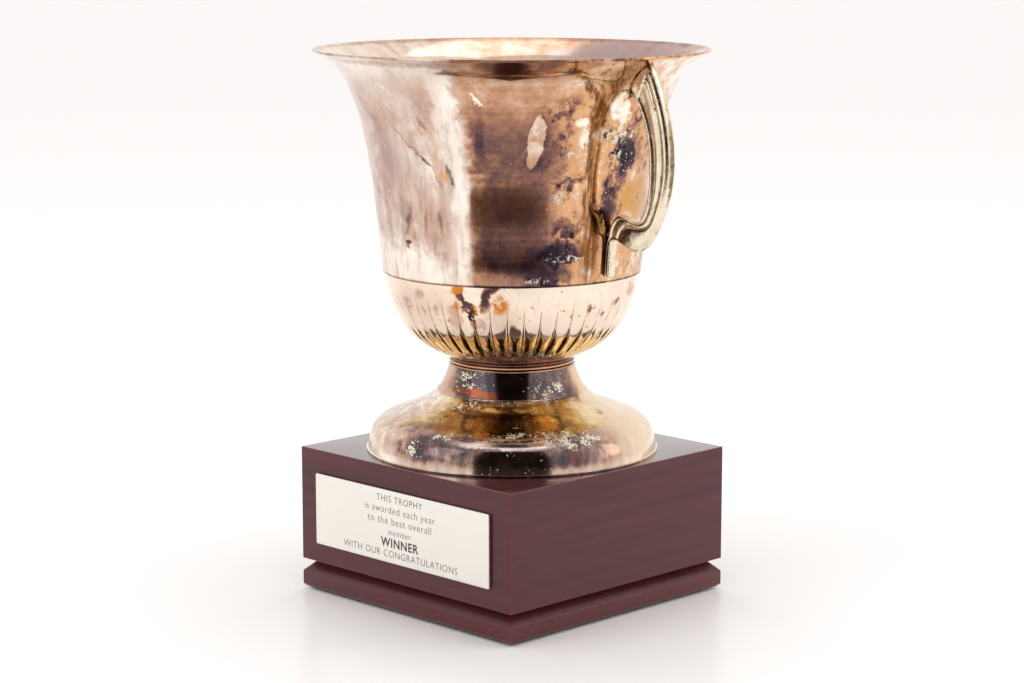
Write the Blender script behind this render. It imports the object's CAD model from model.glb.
import math

import bpy
import numpy as np
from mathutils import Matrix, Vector


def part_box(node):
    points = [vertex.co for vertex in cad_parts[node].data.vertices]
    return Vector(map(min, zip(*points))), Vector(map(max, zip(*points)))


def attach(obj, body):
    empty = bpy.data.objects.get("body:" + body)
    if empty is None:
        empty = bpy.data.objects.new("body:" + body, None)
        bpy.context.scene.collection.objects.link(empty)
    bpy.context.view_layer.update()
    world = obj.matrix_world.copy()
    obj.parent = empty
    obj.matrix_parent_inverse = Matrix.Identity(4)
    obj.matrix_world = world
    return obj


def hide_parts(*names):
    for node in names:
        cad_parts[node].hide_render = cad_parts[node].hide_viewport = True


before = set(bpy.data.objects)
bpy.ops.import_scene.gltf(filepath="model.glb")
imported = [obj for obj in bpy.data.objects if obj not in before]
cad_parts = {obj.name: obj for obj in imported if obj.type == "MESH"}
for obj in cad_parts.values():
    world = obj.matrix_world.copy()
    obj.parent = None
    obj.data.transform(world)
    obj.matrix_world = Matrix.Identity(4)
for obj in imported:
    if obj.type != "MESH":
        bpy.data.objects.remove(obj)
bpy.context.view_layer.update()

# Cup trophy: looks. Metres, in the frame's own axes: the name plate faces -Y, handles on +X and -X.
MM = 0.001
PLINTH_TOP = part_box("top_board")[1].z
VIEW_AZIMUTH = 45.27            # degrees from -Y towards +X, where the main camera stands

CREASE = 35.0                   # degrees between faces from which a metal edge shows as sharp
WALL = 1.2
BOLT_HOLE = 4.4
LOBES = 46
LOBE_STEPS = 18
GROOVE_DEPTH = 1.7


# ---- Curves and meshes ----

def smooth_curve(points, count):
    """Evenly spaced points on the natural cubic spline through the given points."""
    known = np.array(points, float)
    knots = np.concatenate([[0], np.cumsum(np.linalg.norm(np.diff(known, axis=0), axis=1))])
    gaps = np.diff(knots)
    matrix = np.eye(len(known))
    right = np.zeros_like(known)
    for i in range(1, len(known) - 1):
        matrix[i, i - 1:i + 2] = gaps[i - 1], 2 * (gaps[i - 1] + gaps[i]), gaps[i]
        right[i] = 6 * ((known[i + 1] - known[i]) / gaps[i] - (known[i] - known[i - 1]) / gaps[i - 1])
    bend = np.linalg.solve(matrix, right)
    at = np.linspace(0, knots[-1], count)
    span = np.clip(np.searchsorted(knots, at) - 1, 0, len(known) - 2)
    gap = gaps[span][:, None]
    before = (knots[span + 1] - at)[:, None] / gap
    after = (at - knots[span])[:, None] / gap
    curve = before * known[span] + after * known[span + 1]
    curve += ((before ** 3 - before) * bend[span] + (after ** 3 - after) * bend[span + 1]) * gap ** 2 / 6
    return curve


def left_normals(points):
    """Unit normals on the left of the direction of travel, for (radius, height) points."""
    along = np.gradient(points, axis=0)
    normals = np.stack([-along[:, 1], along[:, 0]], 1)
    return normals / np.linalg.norm(normals, axis=1)[:, None]


def arc_between(start, end, bulge, count):
    """Points on a half ellipse from start to end that bulges by a vector, ends left out."""
    middle = (start + end) / 2
    half = (start - end) / 2
    turns = np.linspace(0, math.pi, count + 2)[1:-1]
    return np.array([middle + half * math.cos(t) + bulge * math.sin(t) for t in turns])


def rounded(corners, radius, steps=4):
    """An open outline whose inner corners are rounded off with small arcs."""
    corners = [np.array(corner, float) for corner in corners]
    result = [corners[0]]
    for before, here, after in zip(corners, corners[1:], corners[2:]):
        back = (before - here) / np.linalg.norm(before - here)
        ahead = (after - here) / np.linalg.norm(after - here)
        for step in range(steps + 1):
            t = step / steps
            result.append(here + back * radius * (1 - t) ** 2 + ahead * radius * t ** 2)
    result.append(corners[-1])
    return np.array(result)


def grid_faces(rows, columns, wrap_rows, wrap_columns):
    """Quads over a grid of points numbered row by row."""
    faces = []
    for i in range(rows if wrap_rows else rows - 1):
        for j in range(columns if wrap_columns else columns - 1):
            i2 = (i + 1) % rows
            j2 = (j + 1) % columns
            faces.append((i * columns + j, i * columns + j2, i2 * columns + j2, i2 * columns + j))
    return faces


def placed(name, data):
    """An object in the scene that holds the data."""
    obj = bpy.data.objects.new(name, data)
    bpy.context.scene.collection.objects.link(obj)
    return obj


def make_object(name, points, faces, sharp_degrees):
    """A smooth-shaded mesh object with outward faces and sharp creases."""
    mesh = bpy.data.meshes.new(name)
    mesh.from_pydata([tuple(point) for point in points], [], faces)
    mesh.validate()
    obj = placed(name, mesh)
    bpy.context.view_layer.objects.active = obj
    bpy.ops.object.mode_set(mode="EDIT")
    bpy.ops.mesh.select_all(action="SELECT")
    bpy.ops.mesh.normals_make_consistent(inside=False)
    bpy.ops.object.mode_set(mode="OBJECT")
    mesh.shade_smooth()
    mesh.set_sharp_from_angle(angle=math.radians(sharp_degrees))
    return obj


def finish_piece(obj, material, slot, *nodes):
    obj.data.materials.append(material)
    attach(obj, "root")
    if nodes:
        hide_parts(*nodes)
    return obj


def lathe(name, outline, turns, change=0.0):
    """Revolve a closed (radius, height) outline in mm; change adds to the radius per height and turn."""
    outline = np.asarray(outline)
    if isinstance(turns, int):
        turns = np.linspace(0, 2 * math.pi, turns, endpoint=False)
    radii = outline[:, :1] + change + np.zeros(len(turns))
    heights = outline[:, 1:] * MM + PLINTH_TOP + np.zeros(len(turns))
    points = np.stack([radii * MM * np.cos(turns), radii * MM * np.sin(turns), heights], 2).reshape(-1, 3)
    return make_object(name, points, grid_faces(len(outline), len(turns), True, True), CREASE)


# ---- Cup outlines: (radius, height above the plinth) in mm ----

SEAM = 90.0
LAP_RADIUS = 62.6
BODY_OUTLINE = [
    (64.0, SEAM), (64.78, 96.2), (65.25, 102.0), (67.2, 120.5), (69.4, 138.5), (72.0, 153.5),
    (75.4, 167.5), (79.8, 179.7), (84.5, 188.6), (89.7, 193.4), (97.4, 198.2),
]
BOWL_OUTLINE = [
    (29.9, 46.5), (40.2, 51.3), (48.3, 57.3), (53.9, 63.6), (58.2, 71.5),
    (61.2, 80.3), (LAP_RADIUS, SEAM),
]
FOOT_NECK = [(31.4, 43.0), (33.4, 37.0), (36.6, 30.6)]
FOOT_DOME = [
    (37.2, 29.8), (42.5, 25.6), (53.6, 20.6), (61.6, 17.6), (64.3, 16.4), (66.4, 14.9), (69.3, 12.0),
    (71.4, 6.2), (72.3, 1.2),
]
FOOT_LIP = 73.0


def make_cup_body(material):
    outer = smooth_curve(BODY_OUTLINE, 110)
    inner = outer + left_normals(outer) * WALL
    rim_direction = outer[-1] - outer[-2]
    rim = arc_between(outer[-1], inner[-1], rim_direction / np.linalg.norm(rim_direction) * WALL / 2, 5)
    foot_edge = arc_between(inner[0], outer[0], np.array([0, -0.25]), 3)
    outline = np.concatenate([outer, rim, inner[::-1], foot_edge])
    body = lathe("cup_body_shell", outline, 360)
    return finish_piece(body, material, "tarnished_silver", "cup_body")


def lobe_change(turns, heights):
    """How much the grooves between the lobes take off the radius, for each turn and height."""
    across = np.abs((turns * LOBES / (2 * math.pi)) % 1.0 * 2 - 1)
    rise = np.clip((heights - 51.5) / 4.5, 0, 1)
    narrowing = np.clip((heights - 61.0) / 11.0, 0, 1)
    fade = np.clip((85.0 - heights) / 13.0, 0, 1)
    depth = GROOVE_DEPTH * rise * rise * (3 - 2 * rise) * (1 - 0.74 * narrowing) * fade
    sharpness = 2.3 + 17.0 * narrowing ** 1.5
    return -depth[:, None] * across[None, :] ** sharpness[:, None]


def lobe_turns():
    """Angles round the bowl, crowded at the grooves."""
    steps = np.linspace(-1, 1, LOBE_STEPS, endpoint=False)
    across = np.sign(steps) * (1 - (1 - np.abs(steps)) ** 1.9)
    return np.concatenate([(lobe + 0.5 + across / 2) * 2 * math.pi / LOBES for lobe in range(LOBES)])


def make_fluted_bowl(material):
    outer = smooth_curve(BOWL_OUTLINE, 84)
    inner = (outer + left_normals(outer) * WALL)[::-1]
    top = np.array([[LAP_RADIUS, SEAM + 2.5], [LAP_RADIUS, SEAM + 5.0], [LAP_RADIUS - WALL, SEAM + 5.0]])
    floor = np.array([[BOLT_HOLE, inner[-1][1]], [BOLT_HOLE, outer[0][1]]])
    outline = np.concatenate([outer, top, inner, floor])
    turns = lobe_turns()
    bowl = lathe("fluted_bowl_shell", outline, turns, lobe_change(turns, outline[:, 1]))
    return finish_piece(bowl, material, "bowl_silver", "fluted_bowl")


def make_neck_collar(material):
    low, high, radius = 43.0, 46.5, 31.2
    edge = rounded([
        (BOLT_HOLE, low), (radius, low), (radius, low + 0.7), (radius - 0.8, low + 1.1), (radius, low + 1.5),
        (radius + 0.1, low + 2.3), (radius - 0.9, low + 2.8), (radius - 0.7, high),
        (BOLT_HOLE, high),
    ], 0.12)
    return finish_piece(lathe("neck_collar_ring", edge, 256), material, "collar_metal", "neck_collar")


def make_foot(material):
    neck = smooth_curve(FOOT_NECK, 24)
    dome = smooth_curve(FOOT_DOME, 80)
    ring = arc_between(neck[-1], dome[0], np.array([0.35, 0.28]), 4)
    lip = rounded([dome[-1], (FOOT_LIP, 1.2), (FOOT_LIP, 0.0), (FOOT_LIP - 2.0, 0.0)], 0.15, 3)[1:]
    outer = np.concatenate([neck, ring, dome, lip])
    skin = np.concatenate([neck, dome])
    inner = (skin - left_normals(skin) * WALL)[2:-2][::-1]
    crown = np.array([[29.5, 41.8], [BOLT_HOLE, 41.8], [BOLT_HOLE, 43.0]])
    foot = lathe("foot_shell_spun", np.concatenate([outer, inner, crown]), 320)
    return finish_piece(foot, material, "foot_metal", "foot_shell")


# ---- Handles ----

HANDLE_INNER = [
    (79.6, 183.4), (82.4, 179.9), (85.6, 175.4), (88.9, 169.0), (91.2, 162.0), (92.6, 154.0),
    (92.8, 144.0), (92.2, 135.0), (90.4, 127.4), (87.6, 122.4), (84.2, 120.4), (80.6, 121.2),
    (76.8, 122.9), (73.3, 123.3), (69.8, 120.6), (67.3, 116.0), (66.2, 110.5), (65.5, 103.6), (64.5, 93.0),
]
HANDLE_OUTER = [
    (92.3, 196.0), (94.4, 192.6), (97.6, 186.0), (101.4, 176.0), (104.2, 166.0), (105.6, 156.0),
    (105.6, 144.0), (104.3, 136.0), (101.6, 127.4), (97.2, 118.0), (91.4, 109.8), (85.0, 106.4),
    (78.0, 108.8), (73.0, 111.8), (70.4, 111.4), (69.4, 108.6), (68.9, 105.0), (68.5, 100.0), (68.2, 93.0),
]
INNER_BEAD = (1.7, 2.9)
OUTER_BEAD = (2.6, 3.35)
WEB_HALF = 2.1
RIDGE = 0.5                      # a fine ridge beside each bead
PAD_END = 0.075                  # the plain pad under the flare, as a share of the handle's length
KNEE_WEB = 3.6
KNEE_START = 0.50
LEG_START = 0.72


def round_top(distance, radius):
    """Height from 0 to 1 of a round bead at a distance from its middle."""
    return np.sqrt(np.clip(1 - (distance / radius) ** 2, 0, 1))


def handle_half_thickness(across, width, pad, knee, leg):
    """Half thickness in mm at distances across the handle from its inner edge."""
    in_radius = min(INNER_BEAD[0], 0.17 * width)
    out_radius = min(OUTER_BEAD[0], 0.32 * width)
    out_radius += knee * max((width - 2 * in_radius - KNEE_WEB) / 2 - out_radius, 0.0)
    inner = INNER_BEAD[1] * round_top(across - in_radius, in_radius)
    outer = OUTER_BEAD[1] * round_top(width - across - out_radius, out_radius)
    web_width = max(width - 2 * in_radius - 2 * out_radius, 0.1)
    web_place = (across - 2 * in_radius) / web_width
    web = WEB_HALF + 0.5 * np.sin(math.pi * np.clip(web_place, 0, 1))
    beside = (0.14 * round_top(across - 2 * in_radius - RIDGE, RIDGE)
              + 0.14 * round_top(width - across - 2 * out_radius - RIDGE, RIDGE))
    edge = np.clip(np.minimum(across, width - across) / 0.6, 0, 1)
    reeded = np.maximum(np.maximum(inner, outer), (web + beside * min(1.0, web_width / 3.0)) * edge)
    plain = 3.05 * np.clip(1 - np.abs(2 * across / width - 1) ** 5, 0, 1) ** 0.5
    return (reeded * (1 - pad) + plain * pad) * (1 - 0.22 * leg)


def ramped(value, low, high):
    return min(max((value - low) / (high - low), 0.0), 1.0)


def make_handle(name, material, side):
    """Sweep the reeded section along the handle; side is 1 at +X and -1 at -X."""
    stations = 260
    across_steps = 52
    inner = smooth_curve(HANDLE_INNER, stations)
    outer = smooth_curve(HANDLE_OUTER, stations)
    spacing = np.linspace(0, 1, across_steps + 1)
    spacing = 0.35 * (1 - np.cos(math.pi * spacing)) / 2 + 0.65 * spacing
    rings = []
    for index in range(stations):
        place = index / (stations - 1)
        span = outer[index] - inner[index]
        width = np.linalg.norm(span)
        # the pad ends in a curved step, further down on the inner side
        step_places = PAD_END * (0.30 + 0.70 * (1 - spacing) ** 1.6)
        pad = np.clip((step_places + 0.006 - place) / 0.008, 0, 1)
        leg = ramped(place, LEG_START, LEG_START + 0.1)
        knee = ramped(place, KNEE_START, KNEE_START + 0.1)
        half = handle_half_thickness(spacing * width, width, pad, knee, leg)
        half *= min(1.0, (stations - 1 - index) / 4 + 0.55)
        ring = []
        for sign, order in ((1, range(across_steps + 1)), (-1, range(across_steps - 1, 0, -1))):
            for step in order:
                radius, height = inner[index] + span * spacing[step]
                ring.append((side * radius * MM, -side * sign * half[step] * MM, height * MM + PLINTH_TOP))
        rings.append(ring)
    return finish_piece(stacked(name + "_cast", rings, CREASE), material, "handle_metal", name)


# ---- Plinth ----

BOARD = 12.0 * MM
EDGE_ROUND = 0.55 * MM
SLAB_EDGE = 8.3 * MM            # height of the slab's upright edge
SLAB_CHAMFER = 1.5 * MM
FLAT_MARGIN = 8 * MM            # ring on a flat face that keeps its shading flat
WOOD_CREASE = 50                # degrees
GRAIN_ALONG_X = (10, 170, 170)  # features per metre
GRAIN_ALONG_Y = (170, 10, 170)


def edge_marks(half, count):
    """Places from -half to half, crowded at the rounded edges."""
    fine = [half - EDGE_ROUND * (1 - math.tan(math.radians(turn))) for turn in (0, 9, 18, 27, 36, 45)]
    flat = list(np.linspace(-(half - EDGE_ROUND), half - EDGE_ROUND, count))
    return [-value for value in reversed(fine[1:])] + flat + fine[1:]


def make_board(side, material, facing, right, up, low_square=True):
    """A mitred board seen from outside: rounded outer edges, mitred sides, and a flat inner face."""
    low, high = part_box("front_board")
    half = high.x
    centre_z = (PLINTH_TOP + low.z) / 2
    half_z = (PLINTH_TOP - low.z) / 2
    centre = Vector((0, 0, centre_z))
    extents = Vector((half, half, half_z))
    size_right = abs(right.dot(extents))
    size_up = abs(up.dot(extents))
    size_out = abs(facing.dot(extents))
    columns = edge_marks(size_right, 9)
    rows = edge_marks(size_up, 7)
    points = []
    for v in rows:
        for u in columns:
            raw = facing * size_out + right * u + up * v
            core = Vector([max(-e + EDGE_ROUND, min(e - EDGE_ROUND, c)) for c, e in zip(raw, extents)])
            if low_square and raw.z < -half_z + EDGE_ROUND:
                core.z = raw.z
            away = raw - core
            points.append(centre + core + away.normalized() * EDGE_ROUND)
    faces = grid_faces(len(rows), len(columns), False, False)
    border = list(range(len(columns)))
    border += [i * len(columns) + len(columns) - 1 for i in range(1, len(rows))]
    border += [(len(rows) - 1) * len(columns) + j for j in reversed(range(len(columns) - 1))]
    border += [i * len(columns) for i in reversed(range(1, len(rows) - 1))]
    start = len(points)
    low_up = -size_up if low_square else -size_up + BOARD
    for index in border:
        place = points[index] - centre
        u = max(-size_right + BOARD, min(size_right - BOARD, place.dot(right)))
        v = max(low_up, min(size_up - BOARD, place.dot(up)))
        points.append(centre + facing * (size_out - BOARD) + right * u + up * v)
    count = len(border)
    for k in range(count):
        k2 = (k + 1) % count
        faces.append((border[k], start + k, start + k2, border[k2]))
    faces.append(tuple(start + k for k in range(count)))
    board = make_object(side + "_board_lacquered", points, faces, WOOD_CREASE)
    return finish_piece(board, material, "red_lacquered_wood", side + "_board")


def rounded_ring(half_u, half_v, corner, steps):
    """Points (u, v) round a rectangle with rounded corners."""
    ring = []
    for quarter in range(4):
        for step in range(steps + 1):
            angle = math.radians(90) * (quarter + step / steps)
            u = (half_u - corner) * (1 if quarter in (0, 3) else -1) + corner * math.cos(angle)
            v = (half_v - corner) * (1 if quarter in (0, 1) else -1) + corner * math.sin(angle)
            ring.append((u, v))
    return ring


def stacked(name, rings, sharp_degrees):
    """A closed block through rings of points, one above the other."""
    columns = len(rings[0])
    faces = grid_faces(len(rings), columns, False, True)
    faces.append(tuple(range(columns)))
    faces.append(tuple((len(rings) - 1) * columns + column for column in range(columns)))
    return make_object(name, sum(rings, []), faces, sharp_degrees)


def square_block(name, outline, corner):
    """A closed square block; outline holds (half size, height) from bottom to top, in metres."""
    rings = [[(x, y, height) for x, y in rounded_ring(half, half, corner, 5)] for half, height in outline]
    return stacked(name, rings, WOOD_CREASE)


def make_slab(material):
    low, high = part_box("base_slab")
    half = high.x
    edge_top = low.z + SLAB_EDGE
    groove = half - (high.z - edge_top)
    outline = rounded([
        (half - FLAT_MARGIN, low.z), (half - SLAB_CHAMFER, low.z), (half, low.z + SLAB_CHAMFER),
        (half, edge_top), (groove, high.z - 0.05 * MM), (groove - FLAT_MARGIN, high.z - 0.05 * MM),
    ], 0.45 * MM)
    slab = square_block("base_slab_moulded", outline, 0.6 * MM)
    return finish_piece(slab, material, "red_lacquered_wood", "base_slab")


def make_felt(material):
    low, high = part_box("felt_pad")
    half = high.x
    outline = rounded([
        (half - 3 * MM, low.z), (half - 0.1 * MM, low.z), (half, high.z), (half - 3 * MM, high.z),
    ], 0.25 * MM)
    return finish_piece(square_block("felt_pad_sheet", outline, 1.5 * MM), material, "green_felt", "felt_pad")


# ---- Name plate ----

FONT_SIZE = 1.35                # font size for a capital 1 high
LETTER_SPACING = 1.12
LETTER_DEPTH = 0.02 * MM
PLATE_LINES = [                 # words, capital height in mm, boldness
    ("THIS TROPHY", 3.6, 0.0),
    ("is awarded each year", 3.9, 0.0),
    ("to the best overall", 4.0, 0.0),
    ("member", 3.3, 0.0),
    ("WINNER", 4.6, 0.035),
    ("WITH OUR CONGRATULATIONS", 3.7, 0.0),
]


def upright_plate(name, node, round_mm, corner_mm):
    """A thin plate with rounded edges that stands against the plinth's front."""
    low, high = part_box(node)
    half_x, half_z = (high.x - low.x) / 2, (high.z - low.z) / 2
    centre_z = (low.z + high.z) / 2
    edge = round_mm * MM
    corner = corner_mm * MM
    layers = [(edge, high.y), (0, high.y), (0, low.y + edge)]
    for step in range(1, 5):
        angle = math.radians(90) * step / 4
        layers.append((edge * (1 - math.cos(angle)), low.y + edge * (1 - math.sin(angle))))
    layers.append((1.5 * MM, low.y))
    rings = []
    for inset, y in layers:
        ring = rounded_ring(half_x - inset, half_z - inset, max(corner - inset, 0.05 * MM), 6)
        rings.append([(x, y, centre_z + z) for x, z in ring])
    return stacked(name, rings, 40)


def make_letters(material):
    """Dark-filled engraved lines: generic wording, centred on the plate."""
    low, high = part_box("plaque")
    pitch = (high.z - low.z) / 6.6
    pieces = []
    for index, (words, size, weight) in enumerate(PLATE_LINES):
        text = bpy.data.curves.new("plate_line", "FONT")
        text.body = words
        text.size = size * MM * FONT_SIZE
        text.align_x = "CENTER"
        text.align_y = "CENTER"
        text.offset = (weight - 0.012) * text.size
        text.space_character = LETTER_SPACING
        text.extrude = LETTER_DEPTH
        text.resolution_u = 3
        holder = placed("plate_line", text)
        height = high.z - pitch * (0.8 + index)
        holder.location = (0, low.y - 0.008 * MM, height)
        holder.rotation_euler = (math.radians(90), 0, 0)
        pieces.append(holder)
    bpy.context.view_layer.update()
    points, faces = [], []
    depsgraph = bpy.context.evaluated_depsgraph_get()
    for holder in pieces:
        mesh = bpy.data.meshes.new_from_object(holder.evaluated_get(depsgraph))
        start = len(points)
        points += [holder.matrix_world @ vertex.co for vertex in mesh.vertices]
        faces += [tuple(start + v for v in face.vertices) for face in mesh.polygons]
        bpy.data.objects.remove(holder)
    mesh = bpy.data.meshes.new("plate_letters")
    mesh.from_pydata([tuple(p) for p in points], [], faces)
    return finish_piece(placed("plate_letters", mesh), material, "plate_metal")


# ---- Materials ----

class Graph:
    """Short names for building one material's nodes."""

    def __init__(self, name):
        self.material = bpy.data.materials.new(name)
        self.material.use_nodes = True
        self.nodes = self.material.node_tree.nodes
        self.links = self.material.node_tree.links
        self.shader = self.nodes["Principled BSDF"]
        self.place = self.new("TexCoord").outputs["Object"]

    def join(self, value, socket):
        if hasattr(value, "is_output"):
            self.links.new(value, socket)
        else:
            socket.default_value = value

    def fill(self, node, inputs):
        for name, value in inputs.items():
            self.join(value, node.inputs[name.replace("_", " ")])

    def set(self, **inputs):
        """Set or link inputs of the material's own shader."""
        self.fill(self.shader, inputs)

    def new(self, kind, **inputs):
        node = self.nodes.new("ShaderNode" + kind)
        self.fill(node, inputs)
        return node

    def math(self, operation, a, b=0.0):
        node = self.new("Math")
        node.operation = operation
        self.join(a, node.inputs[0])
        self.join(b, node.inputs[1])
        return node.outputs[0]

    def chain(self, operation, values):
        result = values[0]
        for value in values[1:]:
            result = self.math(operation, result, value)
        return result

    def add(self, *values):
        return self.chain("ADD", values)

    def times(self, *values):
        return self.chain("MULTIPLY", values)

    def less(self, a, b):
        return self.math("SUBTRACT", a, b)

    def most(self, *values):
        return self.chain("MAXIMUM", values)

    def step(self, value, low, high, out_low=0.0, out_high=1.0):
        """Smooth step of value from low to high."""
        node = self.new("MapRange", Value=value, From_Min=low, From_Max=high, To_Min=out_low, To_Max=out_high)
        node.interpolation_type = "SMOOTHSTEP"
        return node.outputs["Result"]

    def noise(self, scale, detail=4.0, rough=0.55, distort=0.0):
        """Noise from about 0 to 1; scale is in features per metre, one number or one for each axis."""
        place = self.place
        if isinstance(scale, tuple):
            place = self.new("Mapping", Scale=scale, Vector=place).outputs[0]
            scale = 1.0
        node = self.new("TexNoise", Vector=place, Scale=scale, Detail=detail, Roughness=rough,
                        Distortion=distort)
        return node.outputs["Fac"]

    def vary(self, scale, detail=4.0, rough=0.6):
        """Noise from about -1 to 1."""
        return self.times(self.less(self.noise(scale, detail, rough), 0.5), 4.0)

    def greyer(self, amount, colour, saturation):
        """The colour with less saturation, mixed in by an amount."""
        return self.new("HueSaturation", Saturation=saturation, Fac=amount, Color=colour).outputs[0]

    def limit(self, value):
        return self.math("MINIMUM", self.most(value, 0.0), 1.0)

    def unsigned(self, value):
        return self.math("ABSOLUTE", value)

    def ramp(self, value, stops):
        node = self.new("ValToRGB", Fac=value)
        elements = node.color_ramp.elements
        while len(elements) < len(stops):
            elements.new(0.5)
        for element, (position, colour) in zip(elements, stops):
            element.position = position
            element.color = (*colour, 1.0)
        return node.outputs[0]

    def two_tones(self, value, low, high):
        return self.ramp(value, [(0.3, low), (0.7, high)])

    def blend(self, amount, low, high):
        node = self.new("Mix")
        node.data_type = "RGBA"
        self.join(amount, node.inputs[0])
        self.join(low if hasattr(low, "is_output") else (*low, 1.0), node.inputs[6])
        self.join(high if hasattr(high, "is_output") else (*high, 1.0), node.inputs[7])
        return node.outputs[2]

    def bump(self, height, distance, strength=1.0):
        return self.new("Bump", Strength=strength, Distance=distance, Height=height).outputs[0]

    def split(self, vector):
        return self.new("SeparateXYZ", Vector=vector).outputs

    def around(self):
        """Angle about the cup's axis in degrees, 0 towards the main view and positive to its right,
        and the height above the plinth in mm."""
        azimuth = math.radians(VIEW_AZIMUTH)
        x, y, z = self.split(self.place)
        ahead = self.less(self.times(x, math.sin(azimuth)), self.times(y, math.cos(azimuth)))
        aside = self.add(self.times(x, math.cos(azimuth)), self.times(y, math.sin(azimuth)))
        angle = self.times(self.math("ARCTAN2", aside, ahead), 180 / math.pi)
        height = self.times(self.less(z, PLINTH_TOP), 1000.0)
        return angle, height

    def spin(self):
        """Angle about the cup's axis in degrees, counted from +X, from 0 up."""
        x, y, _ = self.split(self.place)
        return self.times(self.add(self.math("ARCTAN2", y, x), 2 * math.pi), 180 / math.pi)

    def patch(self, angle, height, centre, size, edge=0.35, lean=0.0):
        """Mask of a soft oval on the metal: centre and half sizes in degrees and mm."""
        across = self.less(angle, centre[0])
        upward = self.less(height, centre[1])
        if lean:
            across = self.less(across, self.times(upward, lean))
        across = self.times(across, 1 / size[0])
        upward = self.times(upward, 1 / size[1])
        far = self.math("SQRT", self.add(self.times(across, across), self.times(upward, upward)))
        return self.step(far, 1 + edge, 1 - edge)


TARNISH = [
    (0.00, (0.96, 0.88, 0.77)),
    (0.14, (0.87, 0.72, 0.57)),
    (0.28, (0.68, 0.51, 0.41)),
    (0.42, (0.58, 0.33, 0.20)),
    (0.55, (0.40, 0.205, 0.125)),
    (0.67, (0.235, 0.118, 0.092)),
    (0.82, (0.095, 0.052, 0.062)),
    (1.00, (0.028, 0.020, 0.028)),
]
GILDED = [
    (0.00, (0.93, 0.81, 0.57)),
    (0.25, (0.74, 0.55, 0.28)),
    (0.45, (0.48, 0.29, 0.105)),
    (0.65, (0.22, 0.12, 0.05)),
    (0.85, (0.08, 0.042, 0.028)),
    (1.00, (0.03, 0.020, 0.020)),
]
CRUST = (0.86, 0.80, 0.66)
SOFT_EDGE = 0.45


def metal_base(g, colour, rough, bump_height, bump_distance):
    g.set(Base_Color=colour, Metallic=1.0, Roughness=rough, Normal=g.bump(bump_height, bump_distance))
    return g.material


def stained(g, level, angle, height, stains):
    """Add a table of stains to a tarnish level."""
    for stain in stains:
        amount, *softness_and_lean = stain[4:]
        mask = g.patch(angle, height, stain[:2], stain[2:4], *softness_and_lean)
        level = g.add(level, g.times(mask, amount))
    return level


def covered(g, angle, height, places):
    """Where any of the places (angle, height, half sizes, amount, lean if any) lies, with soft edges."""
    result = 0.0
    for place in places:
        amount, *lean = place[4:]
        mask = g.patch(angle, height, place[:2], place[2:4], SOFT_EDGE, *lean)
        result = g.most(result, g.times(mask, amount))
    return result


def scattered_specks(g, scale, place):
    """Small irregular spots, thicker where place is near 1."""
    low = g.less(0.765, g.times(place, 0.125))
    return g.step(g.noise(scale, 2, 0.5), low, g.add(low, 0.045))


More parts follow.
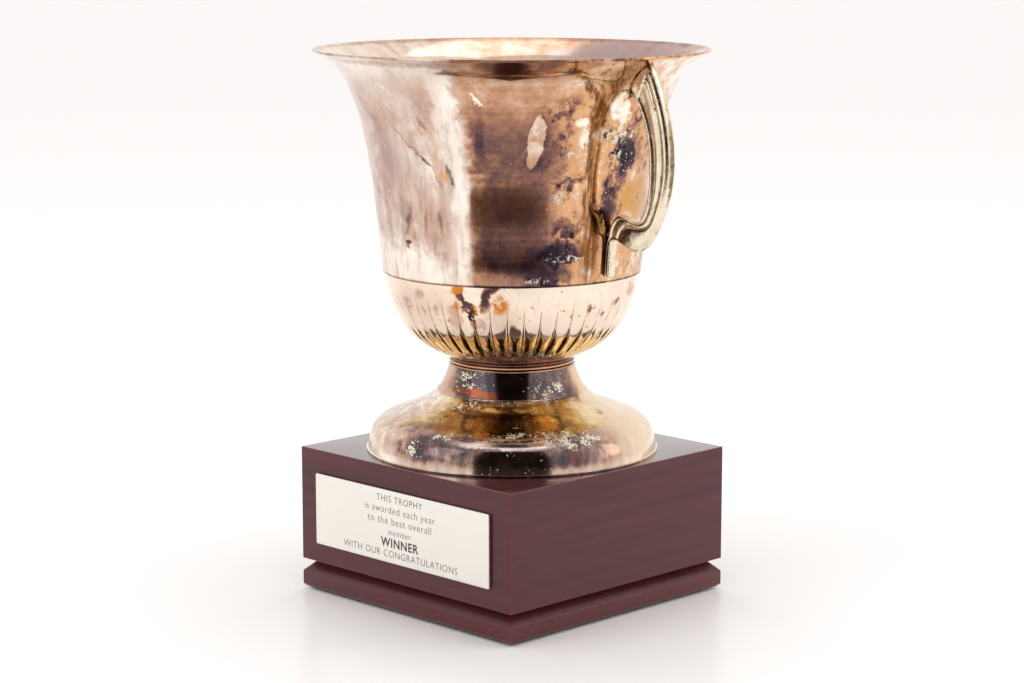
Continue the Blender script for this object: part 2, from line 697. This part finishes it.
def body_metal():
    """Silver plate: pinkish and wiped on the left, purple-brown in front, blotched on the right."""
    g = Graph("body_tarnished_silver")
    angle, height = g.around()
    clouds = g.vary(36, 4, 0.55)
    mottle = g.vary(125, 6, 0.64)
    grains = g.vary(430, 3, 0.6)
    wiped = g.vary((210, 210, 30), 4, 0.62)
    drawn = g.vary((20, 20, 520), 3, 0.6)
    near_angle = g.add(angle, g.times(mottle, 1.6))
    near_height = g.add(height, g.times(mottle, 1.6))
    loose_angle = g.add(near_angle, g.times(clouds, 3.5), g.times(mottle, 3.0))
    loose_height = g.add(near_height, g.times(clouds, 4.0), g.times(mottle, 3.5))
    front = g.times(g.step(near_angle, -20.5, -14.5), g.step(loose_angle, 26.0, 10.0))
    right = g.times(g.step(loose_angle, 10.0, 22.0), g.step(loose_angle, 150.0, 110.0))
    left = g.less(1.0, g.limit(g.add(front, right)))
    seen = g.step(g.unsigned(loose_angle), 112.0, 88.0)

    level = g.add(0.33, g.times(front, 0.29), g.times(right, 0.02))
    level = g.add(level, g.times(clouds, g.add(0.10, g.times(front, -0.04), g.times(right, 0.10))))
    level = g.add(level, g.times(mottle, g.add(0.07, g.times(front, 0.05), g.times(right, 0.26))))
    level = g.add(level, g.times(grains, g.add(0.02, g.times(front, 0.03), g.times(right, 0.06))))
    brushing = g.add(0.05, g.times(seen, g.step(height, 172.0, 130.0), 0.11))
    level = g.add(level, g.times(wiped, left, brushing), g.times(mottle, left, 0.06))
    behind = g.times(g.less(1.0, seen), g.step(height, 186.0, 168.0))
    level = g.add(level, g.times(mottle, behind, 0.12))
    freckles = g.step(g.noise(230, 3, 0.6), 0.56, 0.64)
    level = g.add(level, g.times(freckles, right, g.step(clouds, -0.6, 0.5, 0.08, 0.26)))
    level = g.add(level, g.times(drawn, front, 0.05))
    level = g.less(level, g.times(g.step(height, 158.0, 186.0), front, 0.20))
    level = stained(g, level, loose_angle, loose_height, BODY_SOFT_STAINS)
    level = stained(g, level, near_angle, near_height, BODY_CRISP_STAINS)
    rim_grime = g.times(g.step(height, 197.5, 198.2), 0.14)
    seam_grime = g.times(g.step(height, 91.2, 90.4), 0.45)
    level = g.limit(g.add(level, rim_grime, seam_grime))
    colour = g.ramp(level, TARNISH)

    colour = g.greyer(g.times(left, seen), colour, 0.72)
    warm = g.times(right, g.step(level, 0.58, 0.36), g.step(level, 0.14, 0.30))
    colour = g.blend(g.times(warm, 0.7), colour, (0.72, 0.38, 0.16))
    grey = g.times(left, g.step(wiped, 0.0, 0.8), g.step(height, 188.0, 165.0))
    colour = g.blend(g.times(grey, 0.5), colour, (0.40, 0.35, 0.33))
    lilac = covered(g, loose_angle, loose_height, BODY_LILAC)
    colour = g.blend(lilac, colour, (0.40, 0.29, 0.31))
    amber = covered(g, near_angle, height, BODY_AMBER)
    amber = g.times(amber, g.step(g.vary((420, 420, 24), 3, 0.6), -0.8, 0.1))
    colour = g.blend(amber, colour, (0.19, 0.066, 0.014))
    golden = covered(g, near_angle, near_height, BODY_GOLD)
    golden = g.times(golden, g.step(g.add(mottle, g.times(grains, 0.3)), 0.5, -0.15))
    colour = g.blend(golden, colour, (0.60, 0.31, 0.075))

    specks = scattered_specks(g, 850, covered(g, loose_angle, loose_height, BODY_SPECKS))
    crumbs = g.step(g.noise(380, 3, 0.62), 0.48, 0.54)
    crust = g.times(covered(g, near_angle, near_height, BODY_CRUST), crumbs)
    pale = g.limit(g.add(g.times(specks, 0.9), crust))
    colour = g.blend(pale, colour, CRUST)
    rough = g.add(0.07, g.times(level, 0.05), g.times(pale, 0.4), g.times(left, 0.06), g.times(clouds, 0.015))
    ripples = g.noise((26, 26, 8), 2, 0.5)
    return metal_base(g, colour, rough, g.add(ripples, g.times(pale, 0.30)), 0.0004)


# Stains: angle, height, half width in degrees, half height in mm, change of tarnish, softness, lean if any
BODY_CRISP_STAINS = [
    (8.8, 160, 3.0, 13, -0.42, 0.09, 0.13), (8.5, 149, 3.4, 4, 0.14, 0.6),
    (25.6, 169, 2.3, 2.3, -0.34, 0.35), (28, 159.5, 2.6, 3.6, -0.30, 0.5),
    (28, 158, 0.8, 0.9, 0.40, 0.4), (40, 176.5, 5.2, 6.8, -0.34, 0.16),
    (42.5, 170, 4.4, 4.4, -0.24, 0.25), (-22.0, 175, 3.2, 10, -0.12, 0.18),
    (-24.5, 143, 0.9, 5, 0.60, 0.35, -0.25), (-48.5, 109.5, 2.0, 1.0, 0.55, 0.5),
    (-49, 107.5, 0.8, 1.6, 0.45, 0.5), (-41, 156, 0.6, 13, 0.22, 0.6, -0.9),
    (-35, 149, 0.5, 10, 0.26, 0.6, -0.7), (-33, 165, 1.0, 6, 0.16, 0.6, -0.4),
    (-47, 120, 1.4, 7, 0.18, 0.6, 0.3), (-38, 118, 0.9, 6, 0.18, 0.6, 0.2),
    (-30, 121, 0.8, 5, 0.20, 0.6), (-12.4, 179.5, 0.6, 3.2, -0.5, 0.3, -0.5),
    (-12, 163, 1.8, 13, 0.16, 0.7), (-16, 118, 2.2, 20, 0.10, 0.7),
]
BODY_SOFT_STAINS = [
    (-23, 165, 5.5, 34, -0.17, 0.5, -0.04), (-19, 122, 4.5, 26, -0.16, 0.5),
    (-48, 97, 38, 9, -0.19, 0.6), (0, 113, 13, 17, 0.10, 0.35), (15, 103, 8, 9, 0.16, 0.6),
    (-60, 147, 8, 18, 0.12, 0.6), (-68, 140, 12, 40, 0.07, 0.7), (-38, 121, 13, 10, 0.13, 0.6),
    (-31, 147, 4, 7, 0.10, 0.6), (-31, 174, 3, 9, 0.12, 0.7), (-40, 152, 5, 12, -0.08, 0.6),
    (-56, 170, 7, 7, 0.10, 0.6), (0, 150, 14, 16, 0.08, 0.6), (23, 107, 9, 5.5, 0.42, 0.35),
    (20, 96, 9, 5, 0.22, 0.5), (22, 118, 7, 3, 0.32, 0.5), (24, 139.5, 7, 2.6, 0.34, 0.5),
    (17, 153, 5, 6, 0.08, 0.6), (21, 177, 4, 4, 0.24, 0.6), (13, 165, 3, 7, 0.16, 0.6),
    (50, 153, 7, 9, 0.52, 0.35), (46, 139, 5, 7, 0.36, 0.5), (43, 126, 4, 6, 0.44, 0.5),
    (76, 189, 26, 14, -0.20, 0.6), (-62, 194, 34, 7, -0.13, 0.6), (152, 150, 16, 12, 0.14, 0.6),
    (-158, 112, 12, 8, 0.16, 0.6), (-120, 130, 28, 22, 0.22, 0.6), (130, 140, 24, 30, 0.12, 0.6),
    (-124, 188, 36, 14, -0.16, 0.5),
]
BODY_LILAC = [
    (-59, 148, 10, 17, 0.40), (-34, 178, 5, 6, 0.25), (128, 190, 34, 11, 0.75),
    (158, 180, 12, 5, 0.4), (-160, 150, 11, 9, 0.3),
]
BODY_AMBER = [
    (30.3, 150, 1.3, 34, 0.9), (28.5, 182, 2.2, 9, 0.95, -0.75), (31.3, 172, 2.6, 9, 0.95),
    (34, 108, 4.6, 18, 0.95), (37, 191, 5, 6, 0.75), (-42, 196, 26, 1.4, 0.5),
]
BODY_GOLD = [(60, 129, 11, 10, 0.9), (-27, 143, 2, 3, 0.7)]
BODY_SPECKS = [
    (-6, 152, 14, 16, 0.55), (8.5, 148, 3.5, 4.5, 1.0), (17, 130, 8, 12, 0.9),
    (45, 148, 14, 20, 1.0), (-50, 178, 8, 8, 0.7), (4, 94, 14, 3, 0.9), (23, 106, 9, 4, 0.9),
    (-35, 140, 14, 14, 0.5), (-31, 165, 2, 10, 0.9), (150, 140, 40, 30, 0.7),
]
BODY_CRUST = [
    (41, 162, 8, 4.0, 1.0), (49, 161.5, 4, 1.8, 0.9), (44, 153, 2.6, 2.2, 0.9),
    (23, 103.5, 8, 1.3, 1.0), (-50, 184, 2.6, 2.0, 0.9), (-49, 176, 2.0, 1.4, 0.8),
    (-36, 144, 3, 4, 0.5), (10, 93.5, 5, 1.3, 0.8), (18, 132, 2.4, 3, 0.8), (24, 154, 3, 2, 0.8),
]


def bowl_metal():
    """Pale champagne plate, golden underneath, with orange and indigo stains near the seam."""
    g = Graph("bowl_champagne_silver")
    angle, height = g.around()
    clouds = g.vary(45, 4, 0.6)
    mottle = g.vary(170, 5, 0.62)
    near_angle = g.add(angle, g.times(mottle, 2.6))
    near_height = g.add(height, g.times(mottle, 2.4))
    level = g.add(0.10, g.times(clouds, 0.05), g.times(mottle, 0.04))
    level = stained(g, level, g.add(near_angle, g.times(clouds, 4.0)), near_height, BOWL_STAINS)
    dots = g.times(g.step(g.noise(520, 2, 0.5), 0.66, 0.70), g.step(g.noise(50, 3, 0.5), 0.42, 0.55))
    seam_grime = g.times(g.step(height, 89.3, 90.2), 0.60)
    level = g.add(level, g.times(dots, 0.38), seam_grime)
    across = g.unsigned(g.less(g.math("FRACT", g.times(g.spin(), LOBES / 360.0)), 0.5))
    groove = g.times(g.step(across, 0.455, 0.49), g.step(height, 84.0, 76.0))
    level = g.limit(g.add(level, g.times(groove, g.add(0.24, g.times(mottle, 0.35)))))
    colour = g.ramp(level, TARNISH)
    gold = g.times(g.step(height, 68.0, 60.0), 0.85)
    colour = g.blend(gold, colour, g.ramp(g.add(level, g.times(mottle, 0.10), 0.10), GILDED))
    orange = covered(g, near_angle, near_height, BOWL_ORANGE)
    orange = g.times(orange, g.step(mottle, 0.55, 0.1))
    colour = g.blend(orange, colour, (0.60, 0.21, 0.03))
    red = g.times(covered(g, near_angle, near_height, BOWL_RED), g.step(mottle, 0.4, -0.1))
    colour = g.blend(red, colour, (0.34, 0.12, 0.09))
    rough = g.add(0.10, g.times(clouds, 0.02), g.times(level, 0.08))
    return metal_base(g, colour, rough, g.add(g.noise(60, 3, 0.5), g.times(mottle, 0.02)), 0.0003)


BOWL_STAINS = [
    (-21.5, 81, 2.3, 7.5, 0.72, 0.4, -0.55), (-18, 73, 1.4, 6.0, 0.40, 0.5),
    (-11.5, 85, 3.0, 6.5, 0.74, 0.4, 0.25), (-26, 74, 3.0, 7.0, 0.22, 0.6),
    (-52, 76, 17, 12, 0.13, 0.6), (-30, 82, 6, 8, 0.08, 0.6), (-5, 74, 9, 6, 0.12, 0.6),
    (160, 74, 20, 10, 0.25, 0.6), (-130, 82, 14, 6, 0.35, 0.6),
]
BOWL_ORANGE = [
    (-5.5, 81, 3.4, 4.5, 1.0), (-25, 88, 2.6, 2.2, 1.0), (-26.5, 79.5, 2.0, 1.8, 0.9),
    (-17, 79, 1.8, 2.2, 0.8), (70, 84, 5, 4, 0.8),
]
BOWL_RED = [
    (38, 77, 1.2, 2.8, 1.0), (47, 75, 1.3, 2.6, 1.0), (55, 78.5, 2.0, 1.6, 0.9),
    (-57, 78, 4.0, 3.0, 0.5), (-46, 84, 3.0, 2.2, 0.5), (-37, 77, 1.6, 2.6, 0.6),
    (-45, 76, 1.6, 2.6, 0.5), (28.5, 74, 1.0, 1.4, 0.8), (-15, 70, 2.6, 4.0, 0.5),
]


def foot_metal():
    """Heavily mottled plate: slate and plum on the neck and skirt, gold-brown between, pale crust."""
    g = Graph("foot_mottled_silver")
    angle, height = g.around()
    clouds = g.vary(40, 4, 0.6)
    mottle = g.vary(140, 6, 0.66)
    rings = g.vary((60, 60, 420), 4, 0.62)
    near_angle = g.add(angle, g.times(mottle, 4.0), g.times(clouds, 3.0))
    near_height = g.add(height, g.times(mottle, 0.9), g.times(clouds, 0.6))
    side = g.step(g.unsigned(near_angle), 40.0, 74.0)
    dome = g.times(g.step(near_height, 17.0, 19.5), g.step(near_height, 31.0, 28.5))
    neck = g.step(near_height, 28.5, 31.0)
    streaks = g.vary((240, 240, 50), 4, 0.62)
    skirt = g.step(near_height, 18.0, 15.0)
    worn_skirt = g.times(g.step(height, 6.0, 2.0), -0.26)
    lip_grime = g.times(g.step(height, 1.3, 0.9), 0.40)
    level = g.add(0.60, g.times(neck, 0.18), g.times(side, -0.40), g.times(clouds, 0.11),
                  g.times(mottle, g.add(0.13, g.times(dome, 0.12))), g.times(rings, dome, 0.15),
                  g.times(streaks, skirt, 0.12), worn_skirt, lip_grime)
    level = g.limit(stained(g, level, near_angle, near_height, FOOT_STAINS))
    colour = g.ramp(level, TARNISH)
    colour = g.greyer(g.times(g.less(1.0, dome), g.step(side, 1.0, 0.2)), colour, 0.75)
    colour = g.blend(g.times(dome, g.step(side, 1.0, 0.35)), colour, g.ramp(level, GILDED))
    warm = g.times(g.step(near_angle, 38.0, 62.0), g.step(level, 0.55, 0.40))
    colour = g.blend(g.times(warm, 0.7), colour, (0.88, 0.67, 0.44))
    slate = g.times(g.less(1.0, dome), g.step(mottle, -0.5, 0.4), g.step(level, 0.50, 0.66))
    colour = g.blend(g.times(slate, 0.6), colour, (0.075, 0.068, 0.080))
    copper = covered(g, near_angle, g.add(height, g.times(clouds, 0.8)), FOOT_COPPER)
    copper = g.times(copper, g.step(g.add(mottle, rings), 1.2, 0.3))
    colour = g.blend(copper, colour, (0.27, 0.072, 0.028))
    crumbs = g.add(g.noise(820, 3, 0.65), g.times(g.noise(230, 2, 0.5), 0.6))
    place = covered(g, near_angle, near_height, FOOT_CRUST)
    threshold = g.less(1.01, g.times(place, 0.20))
    crust = g.step(crumbs, threshold, g.add(threshold, 0.05))
    colour = g.blend(crust, colour, CRUST)
    # the raised ring and the crest are rubbed bright in front
    worn = g.most(g.times(g.patch(near_angle, near_height, (-1, 14.4), (21, 1.6), 0.40), 0.95),
                  g.times(g.patch(angle, height, (0, 30.1), (26, 0.45), 0.5), g.step(mottle, 0.8, 0.0)))
    colour = g.blend(worn, colour, (0.86, 0.74, 0.70))
    rough = g.add(0.10, g.times(crust, 0.45), g.times(clouds, 0.02), g.times(level, 0.05))
    heights = g.add(g.noise(40, 2, 0.5), g.times(crust, 0.4), g.times(mottle, 0.015))
    return metal_base(g, colour, rough, heights, 0.0003)


FOOT_STAINS = [
    (25, 21, 16, 3.4, -0.10, 0.6), (46, 23, 12, 5, -0.30, 0.6), (-52, 27, 14, 4, -0.20, 0.6),
    (-12, 26.5, 9, 0.8, -0.34, 0.6), (-33, 19.5, 9, 2.4, -0.10, 0.6), (-56, 14, 6, 3, -0.14, 0.6),
    (10, 21.5, 9, 1.6, -0.10, 0.6), (0, 27.5, 16, 1.0, 0.22, 0.6), (-28, 24.6, 14, 1.2, 0.16, 0.6),
    (-30, 11, 20, 5, 0.12, 0.6), (-38, 38, 18, 6, 0.12, 0.6), (26, 9, 9, 6, 0.14, 0.6),
    (60, 10, 20, 8, -0.18, 0.6),
]
FOOT_COPPER = [
    (-38, 33.6, 18, 1.5, 0.95), (-22, 32.4, 16, 1.7, 0.95), (-36, 19.6, 8, 1.8, 0.6),
    (26, 8.5, 2.0, 4, 0.5),
]
FOOT_CRUST = [
    (-42, 38, 17, 5.5, 0.9), (26, 33, 14, 6, 0.8), (38, 35, 9, 4.5, 1.1),
    (-40, 27.5, 18, 3.2, 0.75), (27, 15.5, 13, 3.4, 1.05), (16, 18, 8, 1.4, 0.9),
    (-42, 9.5, 5, 5, 1.0), (-32, 16, 4, 1.5, 0.8), (-2, 17.8, 8, 0.9, 1.0), (0, 29, 12, 1.0, 0.7),
    (130, 26, 30, 8, 0.7), (-150, 12, 20, 8, 0.7),
]


def handle_metal():
    """Cast plate, champagne on the raised faces, dark and greenish in the grooves."""
    g = Graph("handle_cast_silver")
    geometry = g.new("NewGeometry")
    hollow = g.step(geometry.outputs["Pointiness"], 0.497, 0.462)
    occlusion = g.new("AmbientOcclusion", Distance=0.0025)
    occlusion.samples = 6
    shade = g.step(occlusion.outputs["AO"], 0.86, 0.45)
    mottle = g.vary(190, 5, 0.64)
    clouds = g.vary(60, 4, 0.6)
    x, _, z = g.split(g.place)
    outward = g.times(g.split(geometry.outputs["Normal"])[0], g.math("SIGN", x))
    rim_dirt = g.times(g.step(g.add(outward, g.times(mottle, 0.02)), 0.925, 0.985),
                       g.step(z, PLINTH_TOP + 0.112, PLINTH_TOP + 0.130))
    pits = g.times(g.step(g.noise(620, 3, 0.6), 0.60, 0.68), g.step(clouds, -0.3, 0.4))
    level = g.add(0.12, g.times(mottle, 0.09), g.times(clouds, 0.07), g.times(pits, 0.35))
    dirt = g.most(hollow, shade, g.times(rim_dirt, 0.8))
    level = g.limit(g.add(level, g.times(dirt, g.add(0.62, g.times(mottle, 0.25)))))
    colour = g.ramp(level, [
        (0.0, (0.90, 0.84, 0.69)), (0.16, (0.80, 0.70, 0.52)), (0.34, (0.60, 0.46, 0.32)),
        (0.55, (0.33, 0.235, 0.135)), (0.75, (0.12, 0.105, 0.065)), (1.0, (0.035, 0.042, 0.030)),
    ])
    pink = g.times(g.step(clouds, 0.1, 0.8), g.step(level, 0.4, 0.2))
    colour = g.blend(g.times(pink, 0.6), colour, (0.62, 0.44, 0.38))
    rough = g.add(0.17, g.times(level, 0.25), g.times(clouds, 0.03))
    return metal_base(g, colour, rough, g.add(g.noise(300, 4, 0.6), g.times(pits, -0.6)), 0.00022)


def collar_metal():
    """Turned ring: coppery, with dark lines in its two grooves."""
    g = Graph("collar_turned_ring")
    height = g.around()[1]
    clouds = g.vary(80, 5, 0.6)
    lines = g.most(g.step(g.unsigned(g.less(height, 44.1)), 0.5, 0.15),
                   g.step(g.unsigned(g.less(height, 45.9)), 0.6, 0.15))
    level = g.limit(g.add(0.46, g.times(clouds, 0.12), g.times(lines, 0.5)))
    return metal_base(g, g.ramp(level, TARNISH), g.add(0.14, g.times(clouds, 0.02)), g.noise(200, 3), 0.0001)


def red_wood(name, stretch, coat=0.30, gloss=0.22, deepening=0.0):
    """Dark red mahogany stain with fine grain under a semi-gloss lacquer."""
    g = Graph(name)
    grain = g.noise(stretch, 6, 0.62, 0.6)
    pores = g.noise(tuple(value * 3.3 for value in stretch), 3, 0.7)
    shade = g.add(g.times(grain, 0.75), g.times(pores, 0.25))
    colour = g.ramp(shade, [
        (0.30, (0.050, 0.011, 0.015)), (0.48, (0.080, 0.016, 0.021)), (0.62, (0.104, 0.021, 0.026)),
        (0.78, (0.130, 0.028, 0.032)),
    ])
    colour = g.blend(g.times(g.noise(14, 3), 0.35), colour, (0.060, 0.011, 0.016))
    colour = g.blend(deepening, colour, (0.022, 0.003, 0.005))
    edges = g.new("NewGeometry").outputs["Pointiness"]
    colour = g.blend(g.times(g.step(edges, 0.51, 0.56), 0.8), colour, (0.26, 0.050, 0.052))
    g.set(Base_Color=colour, Roughness=g.add(0.30, g.times(pores, 0.12)), Specular_IOR_Level=gloss,
          Coat_Weight=coat, Coat_Roughness=0.10, Normal=g.bump(shade, 0.00012, 0.6),
          Coat_Normal=g.bump(g.noise(260, 2, 0.5), 0.00005, 0.5))
    return g.material


def plain_wood():
    g = Graph("corner_softwood")
    grain = g.noise((320, 320, 12), 5, 0.6, 0.5)
    colour = g.two_tones(grain, (0.42, 0.27, 0.14), (0.62, 0.45, 0.27))
    g.set(Base_Color=colour, Roughness=0.75, Normal=g.bump(grain, 0.0003))
    return g.material


def plate_metal():
    """Warm silver plate with a fine satin finish and faint handling marks."""
    g = Graph("plate_satin_silver")
    brushed = g.noise((60, 60, 2600), 3, 0.6)
    cloud = g.noise(35, 4, 0.6)
    colour = g.blend(g.times(cloud, 0.6), (0.90, 0.88, 0.82), (0.82, 0.78, 0.71))
    return metal_base(g, colour, g.add(0.30, g.times(brushed, 0.14)), brushed, 0.00004)


def letter_paint():
    g = Graph("plate_engraving_fill")
    mottle = g.noise(900, 3, 0.6)
    g.set(Base_Color=g.two_tones(mottle, (0.035, 0.03, 0.03), (0.075, 0.06, 0.055)), Roughness=0.6)
    return g.material


def zinc_steel():
    g = Graph("fastener_zinc")
    cloud = g.noise(420, 4, 0.6)
    colour = g.two_tones(cloud, (0.46, 0.47, 0.48), (0.66, 0.66, 0.64))
    return metal_base(g, colour, g.add(0.28, g.times(cloud, 0.2)), g.noise(1500, 3), 0.00005)


def felt():
    g = Graph("base_green_felt")
    fuzz = g.noise(2600, 4, 0.7)
    colour = g.two_tones(fuzz, (0.012, 0.045, 0.024), (0.03, 0.10, 0.055))
    g.set(Base_Color=colour, Roughness=0.95, Sheen_Weight=0.5, Normal=g.bump(fuzz, 0.0003))
    return g.material


def dark_tape():
    g = Graph("pad_foam_tape")
    pores = g.noise(1800, 3, 0.6)
    g.set(Base_Color=g.two_tones(pores, (0.015, 0.012, 0.012), (0.04, 0.03, 0.03)), Roughness=0.85)
    return g.material


# ---- Stage ----

def plain_panel(name, corners, material):
    mesh = bpy.data.meshes.new(name)
    mesh.from_pydata(corners, [], [tuple(range(len(corners)))])
    panel = placed(name, mesh)
    panel.data.materials.append(material)
    return panel


def towards(azimuth, distance, height):
    """A point by its direction seen from above: azimuth in degrees to the right of the main view."""
    turn = math.radians(VIEW_AZIMUTH + azimuth)
    return Vector((distance * math.sin(turn), -distance * math.cos(turn), height))


def floor_material():
    g = Graph("stage_floor")
    g.set(Base_Color=(0.95, 0.94, 0.935, 1.0), Roughness=0.25, Specular_IOR_Level=0.14)
    return g.material


def flag_material(name, shade):
    g = Graph(name)
    g.set(Base_Color=(shade, shade * 0.8, shade * 0.72, 1.0), Roughness=1.0, Specular_IOR_Level=0.0)
    return g.material


FLOOR_RADIUS = 40.0
CARD_HEIGHT = 0.004
ROOM_DISTANCE = 3.0
ROOM_HEIGHT = 4.5
TABLE_EDGE = [                  # (azimuth, distance) of the near edge of the table's unlit end
    (-33, 0.590), (-24, 0.578), (-14, 0.569), (0, 0.566), (9, 0.567), (15, 0.578), (21, 0.592), (28, 0.610),
]
TABLE_SIDES = [(31, ROOM_DISTANCE), (-33, ROOM_DISTANCE)]
ROOM_CORNERS = [(-31, 0.0), (31, 0.0), (31, ROOM_HEIGHT), (-31, ROOM_HEIGHT)]


def make_stage():
    rim = [towards(angle, FLOOR_RADIUS, 0.0) for angle in range(0, 360, 6)]
    plain_panel("stage_floor", rim, floor_material())
    # dark cards that only reflections see: the unlit end of a studio table, and the room behind it
    table_end = [towards(azimuth, distance, CARD_HEIGHT) for azimuth, distance in TABLE_EDGE + TABLE_SIDES]
    room = [towards(azimuth, ROOM_DISTANCE, height) for azimuth, height in ROOM_CORNERS]
    for name, corners, shade in (("stage_table_end", table_end, 0.17), ("stage_room", room, 0.035)):
        card = plain_panel(name, corners, flag_material(name, shade))
        card.visible_camera = False
        card.visible_diffuse = False
        card.visible_shadow = False
        card.visible_transmission = False


def area_light(name, location, target, size, power, colour=(1, 1, 1)):
    data = bpy.data.lights.new(name, "AREA")
    data.shape = "RECTANGLE"
    data.size, data.size_y = size
    data.energy = power
    data.color = colour
    light = placed(name, data)
    light.location = location
    light.rotation_euler = (target - location).to_track_quat("-Z", "Y").to_euler()
    light.visible_camera = False


def make_lights():
    middle = Vector((0, 0, 0.14))
    area_light("left_softbox", towards(-62, 1.9, 1.2), middle, (1.0, 1.6), 7, (1.0, 0.99, 0.97))
    area_light("right_softbox", towards(80, 1.9, 1.1), middle, (1.2, 1.8), 5, (1.0, 0.97, 0.93))
    area_light("top_softbox", Vector((0, 0, 2.2)) + towards(160, 0.5, 0), middle, (1.4, 1.4), 6)
    world = bpy.data.worlds.new("pale_studio")
    bpy.context.scene.world = world
    world.use_nodes = True
    world.node_tree.nodes["Background"].inputs[0].default_value = (1.0, 0.972, 0.965, 1)
    world.node_tree.nodes["Background"].inputs[1].default_value = 1.0


CAMERA_LENS = 89.23             # mm, on a 36 mm wide sensor
CAMERA_DISTANCE = 1.249
CAMERA_HEIGHT = 0.3428
CAMERA_DIP = 9.806              # degrees below level


def make_camera():
    data = bpy.data.cameras.new("main_camera")
    data.sensor_width = 36.0
    data.lens = CAMERA_LENS
    data.clip_end = 200
    camera = placed("main_camera", data)
    camera.location = towards(0, CAMERA_DISTANCE, CAMERA_HEIGHT)
    camera.rotation_euler = (math.radians(90 - CAMERA_DIP), 0, math.radians(VIEW_AZIMUTH))
    bpy.context.scene.camera = camera
    bpy.context.scene.view_settings.view_transform = "Standard"


# ---- Assembly ----

def make_plinth():
    along_x = red_wood("plinth_wood_along_x", GRAIN_ALONG_X)
    along_y = red_wood("plinth_wood_along_y", GRAIN_ALONG_Y)
    x, y, up = Vector((1, 0, 0)), Vector((0, 1, 0)), Vector((0, 0, 1))
    make_board("front", along_x, -y, x, up)
    make_board("back", along_x, y, -x, up)
    make_board("right", along_y, x, y, up)
    make_board("left", along_y, -x, -y, up)
    make_board("top", red_wood("plinth_wood_top", GRAIN_ALONG_X, 1.0, 0.5), up, x, y, low_square=False)
    make_slab(red_wood("plinth_wood_slab", GRAIN_ALONG_X, deepening=0.35))
    make_felt(felt())


def dress_hidden_nodes():
    """CAD nodes whose shape stays get their own materials."""
    zinc = zinc_steel()
    looks = {name: zinc for name in (
        "handle_screws", "handle_washers", "tie_bolt", "bowl_washer", "plinth_washer", "lock_washer",
        "tie_nut", "slab_screws")}
    looks["corner_posts"] = plain_wood()
    for node, material in looks.items():
        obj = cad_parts[node]
        obj.data.materials.clear()
        obj.data.materials.append(material)


def main():
    make_camera()
    make_stage()
    make_lights()
    make_cup_body(body_metal())
    make_fluted_bowl(bowl_metal())
    make_neck_collar(collar_metal())
    make_foot(foot_metal())
    cast = handle_metal()
    make_handle("handle_right", cast, 1)
    make_handle("handle_left", cast, -1)
    make_plinth()
    plate = upright_plate("plaque_plate", "plaque", 0.25, 0.8)
    finish_piece(plate, plate_metal(), "plate_metal", "plaque")
    pad = upright_plate("plaque_pad_tape", "plaque_pad", 0.1, 0.8)
    finish_piece(pad, dark_tape(), "adhesive_pad", "plaque_pad")
    make_letters(letter_paint())
    dress_hidden_nodes()


main()
